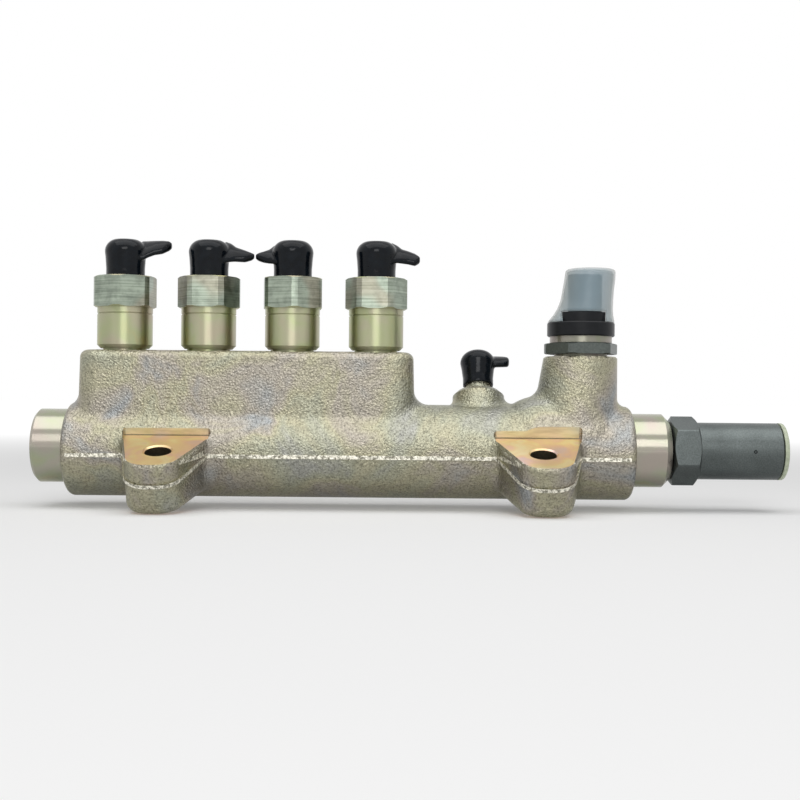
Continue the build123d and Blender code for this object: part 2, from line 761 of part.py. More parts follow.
def sensor_connector():
    """Moulded connector: ring on the collar, round base, front stop and a socket with a key rib."""
    ring = rod(RING_R, SENSOR_COLLAR_TOP, RING_TOP)
    ring = chamfer(ring.edges().filter_by(GeomType.CIRCLE), FINE_EDGE)
    base = rod(PLUG_BASE_R, RING_TOP, PLUG_BASE_TOP) + connector_foot(FOOT_R, 0)
    plan = RectangleRounded(PLUG_WIDTH, PLUG_DEPTH, PLUG_CORNER_R)
    shell = Pos(0, 0, PLUG_BASE_TOP) * extrude(plan, amount=PLUG_TOP - PLUG_BASE_TOP)
    latch = Box(LATCH_WIDTH, 2 * LATCH_THICK, LATCH_LENGTH)
    latch = Pos(0, -PLUG_DEPTH / 2, PLUG_TOP - LATCH_DOWN) * latch
    inside = offset(plan, -PLUG_WALL)
    socket = Pos(0, 0, PLUG_FLOOR) * extrude(inside, amount=PLUG_TOP - PLUG_FLOOR)
    room = rod(SENSOR_CHAMBER_R, SENSOR_COLLAR_TOP, SENSOR_COLLAR_TOP + PLUG_ROOM)
    plug = ring + base - room + Pos(PLUG_SHIFT, 0, 0) * (shell + latch - socket)
    slot = Pos(0, 0, (BOARD_Z + TERMINAL_TOP) / 2) * Box(
        TERMINAL_WIDTH, TERMINAL_WIDTH, TERMINAL_TOP - BOARD_Z
    )
    return Pos(TOWER_X, 0, 0) * plug - [spot * slot for spot in terminal_spots()]


def cover_shape(inset, top):
    """Oblique bell: a short skirt that narrows to a waist, then an upright part that leans."""
    low = RING_TOP + SEAT_GAP
    waist = Pos(COVER_WAIST_LEAN, 0, RING_TOP + COVER_WAIST_UP) * Circle(COVER_WAIST_R - inset)
    skirt = loft([Pos(0, 0, low) * Circle(COVER_BASE_R - inset), waist])
    return skirt + loft([waist, Pos(COVER_LEAN, 0, top) * Circle(COVER_TOP_R - inset)])


def sensor_cover():
    """Thin push-on cover over the connector, leaning a little, with a slot at the front."""
    outer = cover_shape(0, COVER_TOP)
    outer = fillet(outer.faces().sort_by(Axis.Z)[-1].edges(), COVER_EDGE_R)
    shell = outer - cover_shape(COVER_WALL, COVER_TOP - COVER_WALL)
    return Pos(TOWER_X, 0, 0) * (shell - connector_foot(COVER_BASE_R, SLOT_CLEAR))


def limiter_housing():
    """Limiter body with shank, hexagon and long cylinder, open at both ends."""
    shank_r = LIMITER_PORT_R - THREAD_CLEAR
    shank_low = LIMITER_PORT_FLOOR + SEAT_GAP
    blank = turned([
        (0, shank_low),
        (shank_r - THREAD_EDGE, shank_low),
        (shank_r, shank_low + THREAD_EDGE),
        (shank_r, SPIGOT_RIGHT - THREAD_EDGE),
        (LIMITER_NECK_R, SPIGOT_RIGHT),
        (LIMITER_NECK_R, LIMITER_HEX_RIGHT),
        (LIMITER_BODY_R, LIMITER_HEX_RIGHT),
        (LIMITER_BODY_R, LIMITER_RIGHT - EDGE),
        (LIMITER_BODY_R - EDGE, LIMITER_RIGHT),
        (0, LIMITER_RIGHT),
    ])
    nut = hexagon(
        LIMITER_AF, LIMITER_CORNER_R, LIMITER_HEX_LEFT, LIMITER_HEX_RIGHT,
        LIMITER_HEX_CHAMFER, LIMITER_HEX_TURN,
    )
    hollow = turned([
        (0, LIMITER_PORT_FLOOR),
        (LIMITER_BORE_R, LIMITER_PORT_FLOOR),
        (LIMITER_BORE_R, LIMITER_SHOULDER),
        (LEAK_OFF_R, LIMITER_SHOULDER),
        (LEAK_OFF_R, LIMITER_RIGHT),
        (0, LIMITER_RIGHT),
    ])
    return along_rail(blank + nut - hollow)


def limiter_seat():
    """Pressed seat with the inlet orifice and its cone."""
    low = LIMITER_PORT_FLOOR + SEAT_GAP
    cone = VALVE_STEM_R - SEAT_ORIFICE_R
    blank = rod(LIMITER_BORE_R, low, SEAT_RIGHT)
    return along_rail(blank - turned([
        (0, low),
        (SEAT_ORIFICE_R, low),
        (SEAT_ORIFICE_R, SEAT_RIGHT - cone),
        (VALVE_STEM_R, SEAT_RIGHT),
        (0, SEAT_RIGHT),
    ]))


def limiter_guide():
    """Pressed guide ring for the valve stem, with flow holes."""
    ring = rod(LIMITER_BORE_R, GUIDE_LEFT, GUIDE_RIGHT)
    ring = ring - rod(VALVE_STEM_R + SLIDE_CLEAR, GUIDE_LEFT, GUIDE_RIGHT)
    for spot in PolarLocations((VALVE_STEM_R + LIMITER_BORE_R) / 2, GUIDE_HOLES):
        ring = ring - spot * rod(GUIDE_HOLE_R, GUIDE_LEFT, GUIDE_RIGHT)
    return along_rail(ring)


def limiter_valve():
    """Cone valve with its stem, spring flange and spigot."""
    cone = VALVE_STEM_R - SEAT_ORIFICE_R
    flange_r = LIMITER_BORE_R - VALVE_FLANGE_CLEAR
    tip = LIMITER_SPRING_LEFT + VALVE_SPIGOT_LENGTH
    return along_rail(turned([
        (0, SEAT_RIGHT - cone + SEAT_GAP),
        (SEAT_ORIFICE_R, SEAT_RIGHT - cone + SEAT_GAP),
        (VALVE_STEM_R, SEAT_RIGHT + SEAT_GAP),
        (VALVE_STEM_R, VALVE_FLANGE),
        (flange_r, VALVE_FLANGE),
        (flange_r, LIMITER_SPRING_LEFT),
        (VALVE_SPIGOT_R, LIMITER_SPRING_LEFT),
        (VALVE_SPIGOT_R, tip - FINE_EDGE),
        (VALVE_SPIGOT_R - FINE_EDGE, tip),
        (0, tip),
    ]))


def limiter_shim():
    """Ring that sets the spring load."""
    ring = rod(LIMITER_BORE_R - CAP_CLEAR, SHIM_LEFT, LIMITER_SHOULDER)
    return along_rail(ring - rod(SHIM_HOLE_R, SHIM_LEFT, LIMITER_SHOULDER))


def outlet_plug():
    """Plastic plug of the leak-off outlet, a flange on a hollow stem."""
    stem_r = LEAK_OFF_R - CAP_CLEAR
    flange = rod(OUTLET_PLUG_R, LIMITER_RIGHT, LIMITER_RIGHT + OUTLET_PLUG_THICK)
    flange = fillet(flange.edges().filter_by(GeomType.CIRCLE).sort_by(Axis.Z)[-1], OUTLET_PLUG_EDGE_R)
    low = LIMITER_SHOULDER + OUTLET_PLUG_ROOM
    stem = rod(stem_r, low, LIMITER_RIGHT) - rod(stem_r - OUTLET_PLUG_WALL, low, LIMITER_RIGHT)
    return along_rail(flange + stem)


def save(name, shape):
    """Writes one piece with the origin on the seat of the left ear."""
    seat = ear_plane(EAR_LEFT_X) * Pos(0, 0, -EAR_THICK)
    shift = Pos(*(-coordinate for coordinate in seat.position))
    export_step(shift * shape, f"parts/{name}.step")


def save_damper(index):
    """One damper with its inner pieces and its cap."""
    place = Pos(index * PITCH, 0, 0)
    number = index + 1
    spring = coil(DAMPER_SPRING_R, DAMPER_WIRE, PISTON_SHOULDER, DAMPER_SHOULDER, DAMPER_COILS)
    cap = dust_cap(
        CAP_BASE_R, CAP_BULB_R, STUB_R + CAP_CLEAR, HEX_TOP, CAP_TOP,
        TAB_REACHES[index], TAB_TURNS[index],
    )
    save(f"flow_damper_body_{number}", place * damper_body(HEX_TURNS[index]))
    save(f"flow_damper_stopper_{number}", place * damper_stopper())
    save(f"flow_damper_piston_{number}", place * damper_piston())
    save(f"flow_damper_spring_{number}", place * spring)
    save(f"dust_cap_{number}", place * cap)


def save_sensor():
    """The pressure sensor and its cover."""
    save("sensor_body", sensor_body())
    save("sensor_seal", sensor_seal())
    save("sensor_element", sensor_element())
    save("sensor_circuit_board", circuit_board())
    save("sensor_connector", sensor_connector())
    save("sensor_dust_cap", sensor_cover())
    for index, pin in enumerate(sensor_terminals()):
        save(f"sensor_terminal_{index + 1}", pin)


def save_limiter():
    """The pressure limiter and its plug."""
    spring = coil(
        LIMITER_SPRING_R, LIMITER_WIRE, LIMITER_SPRING_LEFT, SHIM_LEFT, LIMITER_COILS
    )
    save("limiter_housing", limiter_housing())
    save("limiter_valve_seat", limiter_seat())
    save("limiter_valve_guide", limiter_guide())
    save("limiter_valve", limiter_valve())
    save("limiter_spring", along_rail(spring))
    save("limiter_shim", limiter_shim())
    save("limiter_outlet_plug", outlet_plug())


save("rail_body", rail_body())
for number in range(DAMPERS):
    save_damper(number)
save("inlet_dust_cap", inlet_frame(dust_cap(
    INLET_CAP_BASE_R, INLET_CAP_BULB_R, INLET_NOZZLE_R + CAP_CLEAR, INLET_CAP_BASE,
    INLET_CAP_BASE + INLET_CAP_LENGTH, INLET_TAB_REACH, 0,
)))
save_sensor()
save_limiter()
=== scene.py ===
import math

import bmesh
import bpy
from mathutils import Matrix, Vector


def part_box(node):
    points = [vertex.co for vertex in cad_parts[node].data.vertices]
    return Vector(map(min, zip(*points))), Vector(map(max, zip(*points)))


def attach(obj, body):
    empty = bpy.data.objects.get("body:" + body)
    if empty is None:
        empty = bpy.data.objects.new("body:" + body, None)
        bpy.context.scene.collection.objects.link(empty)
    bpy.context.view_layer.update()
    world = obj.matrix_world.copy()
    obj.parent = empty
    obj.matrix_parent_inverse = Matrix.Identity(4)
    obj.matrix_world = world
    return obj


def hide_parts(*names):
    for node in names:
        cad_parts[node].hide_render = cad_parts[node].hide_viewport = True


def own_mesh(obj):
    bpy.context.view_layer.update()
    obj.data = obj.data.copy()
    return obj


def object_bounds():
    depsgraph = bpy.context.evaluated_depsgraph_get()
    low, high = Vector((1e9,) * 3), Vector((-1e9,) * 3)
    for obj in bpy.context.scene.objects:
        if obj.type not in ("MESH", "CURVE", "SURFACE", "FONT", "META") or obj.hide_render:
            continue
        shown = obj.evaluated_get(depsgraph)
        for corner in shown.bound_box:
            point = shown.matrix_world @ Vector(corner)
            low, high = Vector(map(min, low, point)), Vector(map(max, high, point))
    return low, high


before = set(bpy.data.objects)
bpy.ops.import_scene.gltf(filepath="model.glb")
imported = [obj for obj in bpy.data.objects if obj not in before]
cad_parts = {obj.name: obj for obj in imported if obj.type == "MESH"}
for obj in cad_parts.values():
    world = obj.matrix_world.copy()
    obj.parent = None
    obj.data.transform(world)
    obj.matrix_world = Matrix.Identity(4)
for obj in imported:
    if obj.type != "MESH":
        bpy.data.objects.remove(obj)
cad_low, cad_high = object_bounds()

# All lengths in metres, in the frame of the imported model, with the rail's axis along X. Places come
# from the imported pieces, so they follow when the model changes.

# bar, its spigots and its drilling
BAR_R = 0.0223
BORE_R = 0.0092
SPIGOT_LENGTH_LEFT = 0.0153
SPIGOT_LENGTH_RIGHT = 0.0178

# ears: their faces lean back, and the upper one ends at the wall of a milled pocket
EAR_LEAN = math.radians(20)
EAR_UP = Vector((0, -math.sin(EAR_LEAN), math.cos(EAR_LEAN)))
EAR_BACK = Vector((0, math.cos(EAR_LEAN), math.sin(EAR_LEAN)))
EAR_SPAN = 0.1731
EAR_THICK = 0.0235
EAR_HOLE_R = 0.0060
HOLE_RIM = 0.001
POCKET_BACK = 0.0189
POCKET_HALF = 0.0215
# painted shade: how far in front of the pocket wall the milled face turns to a dark line at the
# wall's foot
FOOT_SHADE_START = 0.0008
FOOT_SHADE_END = 0.0004

# parting line, level along the bar and tilted round the ears
SEAM_LEAN = math.radians(25.4)
SEAM_UP = Vector((0, -math.sin(SEAM_LEAN), math.cos(SEAM_LEAN)))
SEAM_HALF = 0.0010
BAR_SEAM_DOWN = 0.0036
EAR_SEAM_DEPTH = 0.0084

# how near a face's centre or normal comes to a plane that it belongs to
ON_PLANE = 2e-4
ON_EDGE = 1e-4
ON_END = 1e-5
FLAT_WITH = 0.999
FACING = 0.99
ACROSS = 0.1
UPRIGHT = 0.02

# dampers, inlet, sensor and limiter
HEX_LENGTH = 0.0147
HEX_FLAT_OUT = 0.0105
STUB_LENGTH = 0.0155
INLET_X = 0.1465
INLET_LEAN = math.radians(22)
INLET_CAP_UP = 0.0325
COLLAR_HEIGHT = 0.0031
PUNCH_REACH = 0.002

# studio
ROOM_LIGHT = 0.25
FLOOR_SIZE = 30
FLOOR_GAP = 0.0005
FLOOR_GREY = 0.80
FLOOR_LIFT = (0.16, 0.82)
FLOOR_FADE = (0.3, 1.6)
LAMP_TARGET_X = 0.12
LAMP_TARGET_UP = 0.03
CAMERA_LENS = 54.86
CAMERA_SENSOR = 36
CAMERA_CLIP = 0.01
CAMERA_ROLL = 0.0091
CAMERA_X = 0.10845
CAMERA_BACK = 0.583
CAMERA_Z = 0.045743


def middle(node):
    """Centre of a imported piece's box."""
    low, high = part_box(node)
    return (low + high) / 2


RAIL_AXIS = middle("limiter_outlet_plug")
RAIL_LOW, RAIL_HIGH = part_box("rail_body")
DAMPER_AXIS = middle("flow_damper_stopper_1")
PITCH = middle("flow_damper_stopper_2").x - DAMPER_AXIS.x
FORGED_LEFT = RAIL_LOW.x + SPIGOT_LENGTH_LEFT
FORGED_RIGHT = RAIL_HIGH.x - SPIGOT_LENGTH_RIGHT
SEAM_LEVEL = (EAR_UP * (EAR_THICK - EAR_SEAM_DEPTH)).dot(SEAM_UP)
PUNCH_SPOT = (0.2749, RAIL_AXIS.y - 0.01355, RAIL_AXIS.z + 0.0003)


# ---------------------------------------------------------------- materials
class Shader:
    """A material or world under construction, with short names for the nodes it uses."""

    GROOVE_AXIS_SHARE = 0.05

    def __init__(self, name):
        self.mat = bpy.data.materials.new(name)
        self.mat.use_nodes = True
        self.tree = self.mat.node_tree
        self.tree.nodes.clear()
        self.out = self.add("ShaderNodeOutputMaterial")
        self.pos = self.add("ShaderNodeTexCoord").outputs["Object"]

    def add(self, kind, props=None, **inputs):
        node = self.tree.nodes.new(kind)
        for key, value in (props or {}).items():
            setattr(node, key, value)
        for key, value in inputs.items():
            self.put(node.inputs[key.replace("_", " ")], value)
        return node

    def put(self, socket, value):
        if isinstance(value, bpy.types.NodeSocket):
            self.tree.links.new(value, socket)
        else:
            socket.default_value = value

    def math(self, op, *values):
        node = self.add("ShaderNodeMath", {"operation": op})
        for socket, value in zip(node.inputs, values):
            self.put(socket, value)
        return node.outputs[0]

    def between(self, value, low, high):
        """0 below low, 1 above high, with a soft step between them."""
        node = self.add("ShaderNodeMapRange", {"interpolation_type": "SMOOTHSTEP"}, Value=value)
        node.inputs["From Min"].default_value = low
        node.inputs["From Max"].default_value = high
        return node.outputs[0]

    def parts(self, vector):
        return self.add("ShaderNodeSeparateXYZ", Vector=vector).outputs

    def noise(self, scale, detail=2.0, roughness=0.5, stretch=None, distortion=0.0):
        vector = self.pos
        if stretch:
            vector = self.add("ShaderNodeMapping", Vector=self.pos, Scale=stretch).outputs[0]
        return self.add(
            "ShaderNodeTexNoise", Vector=vector, Scale=scale, Detail=detail,
            Roughness=roughness, Distortion=distortion,
        ).outputs["Fac"]

    def ramp(self, fac, *stops):
        node = self.add("ShaderNodeValToRGB", Fac=fac)
        elements = node.color_ramp.elements
        while len(elements) < len(stops):
            elements.new(0.5)
        for element, (place, colour) in zip(elements, stops):
            element.position = place
            element.color = (*colour, 1) if isinstance(colour, tuple) else (colour,) * 3 + (1,)
        return node.outputs["Color"]

    def mix(self, fac, a, b, kind="MIX"):
        node = self.add("ShaderNodeMix", {"data_type": "RGBA", "blend_type": kind}, Factor=fac)
        for socket, value in ((node.inputs[6], a), (node.inputs[7], b)):
            self.put(socket, (*value, 1) if isinstance(value, tuple) else value)
        return node.outputs[2]

    def bump(self, height, distance, strength=1.0, normal=None):
        node = self.add("ShaderNodeBump", Height=height, Distance=distance, Strength=strength)
        if normal:
            self.put(node.inputs["Normal"], normal)
        return node.outputs[0]

    def across_grooves(self, axis, centre, pitch=0.0):
        """Direction across the grooves of turned metal: along the axis, radial on an end face."""
        x, y, z = self.parts(self.pos)
        x, y, z = (self.math("SUBTRACT", v, c) for v, c in zip((x, y, z), centre))
        if pitch:
            x = self.math("WRAP", x, pitch / 2, -pitch / 2)
        spread = [self.GROOVE_AXIS_SHARE if on else v for on, v in zip(axis, (x, y, z))]
        node = self.add("ShaderNodeCombineXYZ")
        for socket, value in zip(node.inputs, spread):
            self.put(socket, value)
        return node.outputs[0]

    def finish(self, **inputs):
        bsdf = self.add("ShaderNodeBsdfPrincipled")
        for key, value in inputs.items():
            if isinstance(value, tuple) and len(value) == 3:
                value = (*value, 1)
            self.put(bsdf.inputs[key.replace("_", " ")], value)
        self.tree.links.new(bsdf.outputs[0], self.out.inputs["Surface"])
        return self.mat


def tinted(colour, *factors):
    """A colour with each channel multiplied."""
    return tuple(min(1.0, c * f) for c, f in zip(colour, factors))


def forged_zinc():
    """Sand-rough forging under yellow zinc: fine grain and faint coloured clouds."""
    s = Shader("Forged_zinc")
    film = s.ramp(
        s.noise(30, 3, 0.55, distortion=0.6),
        (0.30, (0.29, 0.30, 0.30)),
        (0.41, (0.35, 0.32, 0.27)),
        (0.50, (0.37, 0.35, 0.25)),
        (0.60, (0.34, 0.34, 0.26)),
        (0.72, (0.31, 0.31, 0.28)),
    )
    speckle = s.ramp(s.noise(1150, 2, 0.65), (0.32, 0.58), (0.48, 0.98), (0.64, 1.18))
    dust = s.ramp(s.noise(420, 3, 0.6), (0.32, 0.84), (0.62, 1.0))
    colour = s.mix(1.0, s.mix(1.0, film, speckle, "MULTIPLY"), dust, "MULTIPLY")
    cells = s.add("ShaderNodeTexVoronoi", Vector=s.pos, Scale=950.0).outputs["Distance"]
    height = s.math("ADD", s.noise(1000, 2, 0.6), s.math("MULTIPLY", cells, 0.4))
    swell = s.bump(s.noise(130, 2, 0.5), 0.0004, 0.5)
    return s.finish(
        Base_Color=colour, Metallic=1.0, Roughness=0.36,
        Normal=s.bump(height, 0.00048, 1.0, swell),
    )


def turned_zinc(name, axis, centre, base, roughness, sheen_scale, pitch=0.0):
    """Turned yellow zinc: fine rings round the axis and an oily sheen."""
    s = Shader(name)
    sheen = s.ramp(
        s.noise(sheen_scale, 2, 0.5, distortion=0.8),
        (0.30, tinted(base, 1.04, 0.95, 1.02)),
        (0.45, base),
        (0.60, tinted(base, 0.94, 1.03, 0.88)),
        (0.75, tinted(base, 1.06, 0.98, 0.80)),
    )
    stretch = tuple(1.0 if along else 0.02 for along in axis)
    rings = s.noise(2600, 3, 0.7, stretch)
    return s.finish(
        Base_Color=sheen, Metallic=1.0, Roughness=roughness, Anisotropic=0.95,
        Tangent=s.across_grooves(axis, centre, pitch), Normal=s.bump(rings, 0.00002, 0.35),
    )


def milled_zinc():
    """Milled ear face: golden pink film, faint cutter marks, and a dark line of painted shade at the
    wall's foot.
    """
    s = Shader("Milled_zinc_and_foot_shade")
    film = s.ramp(
        s.noise(75, 2, 0.45, distortion=0.6),
        (0.32, (0.74, 0.53, 0.48)),
        (0.42, (0.82, 0.54, 0.38)),
        (0.53, (0.84, 0.62, 0.33)),
        (0.62, (0.85, 0.71, 0.42)),
        (0.74, (0.80, 0.53, 0.42)),
    )
    marks = s.noise(900, 2, 0.6, (0.05, 1, 1))
    # painted shade: a thin near-black line is mixed into the film colour at the foot of the pocket
    # wall, where shade falls in the corner
    back = s.add("ShaderNodeVectorMath", {"operation": "DOT_PRODUCT"}, Vector=s.pos)
    back.inputs[1].default_value = EAR_BACK
    foot = s.between(
        back.outputs["Value"], POCKET_BACK - FOOT_SHADE_START, POCKET_BACK - FOOT_SHADE_END
    )
    film = s.mix(foot, film, (0.10, 0.07, 0.04))
    return s.finish(
        Base_Color=film, Metallic=1.0, Roughness=0.32, Normal=s.bump(marks, 0.00003, 0.4)
    )


def pocket_zinc():
    """Side of the milled pocket: pale yellow and smooth, with the cutter's streaks."""
    s = Shader("Pocket_zinc")
    streaks = s.noise(500, 2, 0.6, (0.15, 1, 1))
    tone = s.ramp(streaks, (0.35, (0.50, 0.48, 0.34)), (0.65, (0.66, 0.64, 0.49)))
    return s.finish(
        Base_Color=tone, Metallic=1.0, Roughness=0.42, Normal=s.bump(streaks, 0.00004, 0.4)
    )


def seam_zinc():
    """Trimmed parting line: brighter and more broken than the forged skin."""
    s = Shader("Seam_zinc")
    chips = s.noise(700, 3, 0.7)
    tone = s.ramp(chips, (0.40, (0.24, 0.23, 0.18)), (0.58, (0.90, 0.87, 0.76)))
    return s.finish(
        Base_Color=tone, Metallic=1.0, Roughness=0.55, Normal=s.bump(chips, 0.0006, 1.0)
    )


def hex_zinc():
    """Milled hexagon flats with lines across them and dull patches."""
    s = Shader("Hex_zinc")
    lines = s.noise(1900, 2, 0.7, (0.012, 0.012, 1))
    patches = s.noise(220, 3, 0.6)
    green = s.ramp(lines, (0.3, (0.22, 0.26, 0.21)), (0.7, (0.44, 0.50, 0.41)))
    brown = s.ramp(lines, (0.3, (0.23, 0.23, 0.17)), (0.7, (0.43, 0.42, 0.34)))
    tone = s.mix(s.between(s.noise(48, 1), 0.48, 0.60), green, brown)
    tone = s.mix(1.0, tone, s.ramp(patches, (0.35, 0.70), (0.60, 1.0)), "MULTIPLY")
    rough = s.math("MULTIPLY_ADD", patches, 0.2, 0.30)
    return s.finish(
        Base_Color=tone, Metallic=1.0, Roughness=rough, Anisotropic=0.7,
        Tangent=s.across_grooves((0, 0, 1), DAMPER_AXIS, PITCH),
        Normal=s.bump(lines, 0.00004, 0.5),
    )


def plain_metal(name, colour, roughness):
    """Uncoated or plated metal with a fine grain."""
    s = Shader(name)
    grain = s.noise(900.0, 3, 0.6)
    tone = s.ramp(grain, (0.35, tinted(colour, *[0.85] * 3)), (0.65, tinted(colour, *[1.12] * 3)))
    rough = s.math("MULTIPLY_ADD", s.noise(60, 2), 0.12, roughness - 0.06)
    return s.finish(
        Base_Color=tone, Metallic=1.0, Roughness=rough, Normal=s.bump(grain, 0.00002, 0.4)
    )


def limiter_steel():
    """Dark satin plating, paler where it was handled, with a small punch mark."""
    s = Shader("Limiter_steel")
    grain = s.noise(1700, 3, 0.6)
    tone = s.ramp(grain, (0.35, (0.098, 0.111, 0.109)), (0.65, (0.142, 0.161, 0.158)))
    smear = s.ramp(s.noise(50, 3, 0.6, distortion=0.4), (0.35, 0.80), (0.65, 1.0))
    tone = s.mix(1.0, tone, smear, "MULTIPLY")
    away = s.add("ShaderNodeVectorMath", {"operation": "DISTANCE"}, Vector=s.pos)
    away.inputs[1].default_value = PUNCH_SPOT
    ring = s.ramp(
        s.math("DIVIDE", away.outputs["Value"], PUNCH_REACH),
        (0.0, 0.9), (0.14, 0.9), (0.22, 0.12), (0.38, 0.12), (0.48, 1.0),
    )
    return s.finish(
        Base_Color=s.mix(1.0, tone, ring, "MULTIPLY"), Metallic=0.95, Roughness=0.40,
        Normal=s.bump(grain, 0.00004, 0.5),
    )


def gloss_rubber():
    """Dipped black rubber, glossy and a little wavy."""
    s = Shader("Gloss_rubber")
    tone = s.ramp(s.noise(300, 2), (0.3, (0.002, 0.003, 0.005)), (0.7, (0.005, 0.008, 0.012)))
    return s.finish(
        Base_Color=tone, Roughness=0.16, Specular_IOR_Level=0.17,
        Normal=s.bump(s.noise(170, 2), 0.0005, 0.5),
    )


def plain_plastic(name, colour, roughness, shine=0.5):
    """Moulded plastic with a faint grain."""
    s = Shader(name)
    grain = s.noise(500.0, 2, 0.5)
    tone = s.ramp(grain, (0.35, tinted(colour, *[0.88] * 3)), (0.65, tinted(colour, *[1.1] * 3)))
    return s.finish(
        Base_Color=tone, Roughness=roughness, Specular_IOR_Level=shine,
        Normal=s.bump(grain, 0.00003, 0.4),
    )


def milky_plastic():
    """Translucent cover that lets the dark connector show through, softly."""
    s = Shader("Milky_plastic")
    edge = s.add("ShaderNodeLayerWeight", Blend=0.45).outputs["Facing"]
    tone = s.mix(edge, (0.40, 0.53, 0.60), (0.60, 0.62, 0.56))
    haze = s.ramp(s.noise(90, 2), (0.3, 0.90), (0.7, 1.0))
    return s.finish(
        Base_Color=s.mix(1.0, tone, haze, "MULTIPLY"), Roughness=0.35, Alpha=0.45,
        Normal=s.bump(s.noise(160, 2), 0.0002, 0.3),
    )


forged = forged_zinc()
turned_x = turned_zinc("Turned_zinc_x", (1, 0, 0), RAIL_AXIS, (0.38, 0.37, 0.30), 0.26, 55.0)
turned_z = turned_zinc(
    "Turned_zinc_z", (0, 0, 1), DAMPER_AXIS, (0.46, 0.45, 0.31), 0.44, 70.0, PITCH
)
milled = milled_zinc()
seam = seam_zinc()
pocket = pocket_zinc()
# painted shade: the walls of the ear holes are coloured near black for the shade inside them
bored_shade = plain_metal("Bored_zinc_painted_shade", (0.16, 0.14, 0.10), 0.45)
hex_face = hex_zinc()
rubber = gloss_rubber()
steel = plain_metal("Ground_steel", (0.42, 0.42, 0.43), 0.28)
wire = plain_metal("Spring_wire", (0.30, 0.30, 0.31), 0.35)
sensor_metal = plain_metal("Sensor_steel", (0.105, 0.118, 0.110), 0.36)
collar_metal = turned_zinc(
    "Turned_sensor", (0, 0, 1), middle("sensor_seal"), (0.33, 0.31, 0.27), 0.40, 60.0
)
limiter_metal = limiter_steel()
black_plastic = plain_plastic("Black_plastic", (0.010, 0.011, 0.013), 0.32, 0.18)
cover_plastic = milky_plastic()
plug_plastic = plain_plastic("Plug_plastic", (0.52, 0.57, 0.42), 0.42)
board = plain_plastic("Board", (0.03, 0.16, 0.07), 0.4)
contact = plain_metal("Contact_brass", (0.70, 0.55, 0.30), 0.3)


def paint(name, *materials):
    """Gives a CAD node its materials, the first one on every face."""
    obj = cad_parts[name]
    obj.data.materials.clear()
    for material in materials:
        obj.data.materials.append(material)
    return obj


# ---------------------------------------------------------------- rail and metal pieces
def rail_finish(centre, normal):
    """0 forged, 1 turned, 2 milled, 3 parting line, 4 bored with painted shade, 5 pocket, for a face
    of the rail.
    """
    out, up = centre.y - RAIL_AXIS.y, centre.z - RAIL_AXIS.z
    radius = math.hypot(out, up)
    on_forging = FORGED_LEFT - ON_END < centre.x < FORGED_RIGHT + ON_END
    if not on_forging or radius < BORE_R:
        return 1
    height = centre.dot(EAR_UP)
    flat = abs(normal.dot(EAR_UP)) > FLAT_WITH
    if flat and min(abs(height), abs(height - EAR_THICK)) < ON_PLANE:
        return 2
    for x in (0.0, EAR_SPAN):
        spot = Vector((centre.x - x, centre.y, centre.z)) - EAR_UP * height
        # walls of the ear holes get the dark painted shade
        if spot.length < EAR_HOLE_R + ON_EDGE:
            return 4
        if spot.length < EAR_HOLE_R + HOLE_RIM:
            return 2
    beside = min(abs(centre.x), abs(centre.x - EAR_SPAN))
    at_wall = abs(centre.dot(EAR_BACK) - POCKET_BACK) < ON_PLANE
    wall = at_wall and normal.dot(EAR_BACK) < -FACING
    if wall and beside < POCKET_HALF and height > EAR_THICK - ON_EDGE:
        return 5
    if abs(out) > BAR_R and abs(up + BAR_SEAM_DOWN) < SEAM_HALF:
        return 3
    level = centre.dot(SEAM_UP) - SEAM_LEVEL
    if out < -BAR_R and abs(level) < SEAM_HALF and abs(normal.dot(SEAM_UP)) < ACROSS:
        return 3
    return 0


def dress_rail():
    rail = paint("rail_body", forged, turned_x, milled, seam, bored_shade, pocket)
    for face in rail.data.polygons:
        face.material_index = rail_finish(face.center, face.normal)


def dress_damper(n):
    axis = middle(f"flow_damper_stopper_{n}")
    hex_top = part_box(f"flow_damper_body_{n}")[1].z - STUB_LENGTH
    body = paint(f"flow_damper_body_{n}", turned_z, hex_face)
    for face in body.data.polygons:
        upright = abs(face.normal.z) < UPRIGHT
        within = hex_top - HEX_LENGTH < face.center.z < hex_top
        out = math.hypot(face.center.x - axis.x, face.center.y - axis.y)
        face.material_index = 1 if upright and within and out > HEX_FLAT_OUT else 0
    paint(f"flow_damper_stopper_{n}", steel)
    paint(f"flow_damper_piston_{n}", steel)
    spring_coil(f"flow_damper_spring_{n}")


def dress_sensor():
    collar_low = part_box("sensor_connector")[0].z - COLLAR_HEIGHT
    body = paint("sensor_body", sensor_metal, collar_metal)
    for face in body.data.polygons:
        face.material_index = 1 if face.center.z > collar_low else 0
    paint("sensor_seal", collar_metal)
    paint("sensor_element", steel)
    paint("sensor_circuit_board", board)
    paint("sensor_connector", black_plastic)
    for n in range(1, 4):
        paint(f"sensor_terminal_{n}", contact)


def dress_limiter():
    paint("limiter_housing", limiter_metal)
    for name in ("valve_seat", "valve_guide", "valve", "shim"):
        paint(f"limiter_{name}", steel)
    spring_coil("limiter_spring")
    paint("limiter_outlet_plug", plug_plastic)


# ---------------------------------------------------------------- pieces in place of CAD nodes
def mesh_object(name, mesh, material, node):
    """Puts a finished mesh in place of a CAD node."""
    mesh.materials.clear()
    mesh.materials.append(material)
    for face in mesh.polygons:
        face.use_smooth = True
    obj = bpy.data.objects.new(name, mesh)
    bpy.context.scene.collection.objects.link(obj)
    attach(obj, "rail")
    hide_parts(node)
    return obj


def spring_coil(node):
    """Copy of a spring's mesh, put in place of its CAD node in spring wire."""
    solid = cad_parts[node]
    mesh = solid.data.copy()
    mesh.transform(solid.matrix_world)
    coil = mesh_object(f"{node}_coil", mesh, wire, node)
    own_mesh(coil)


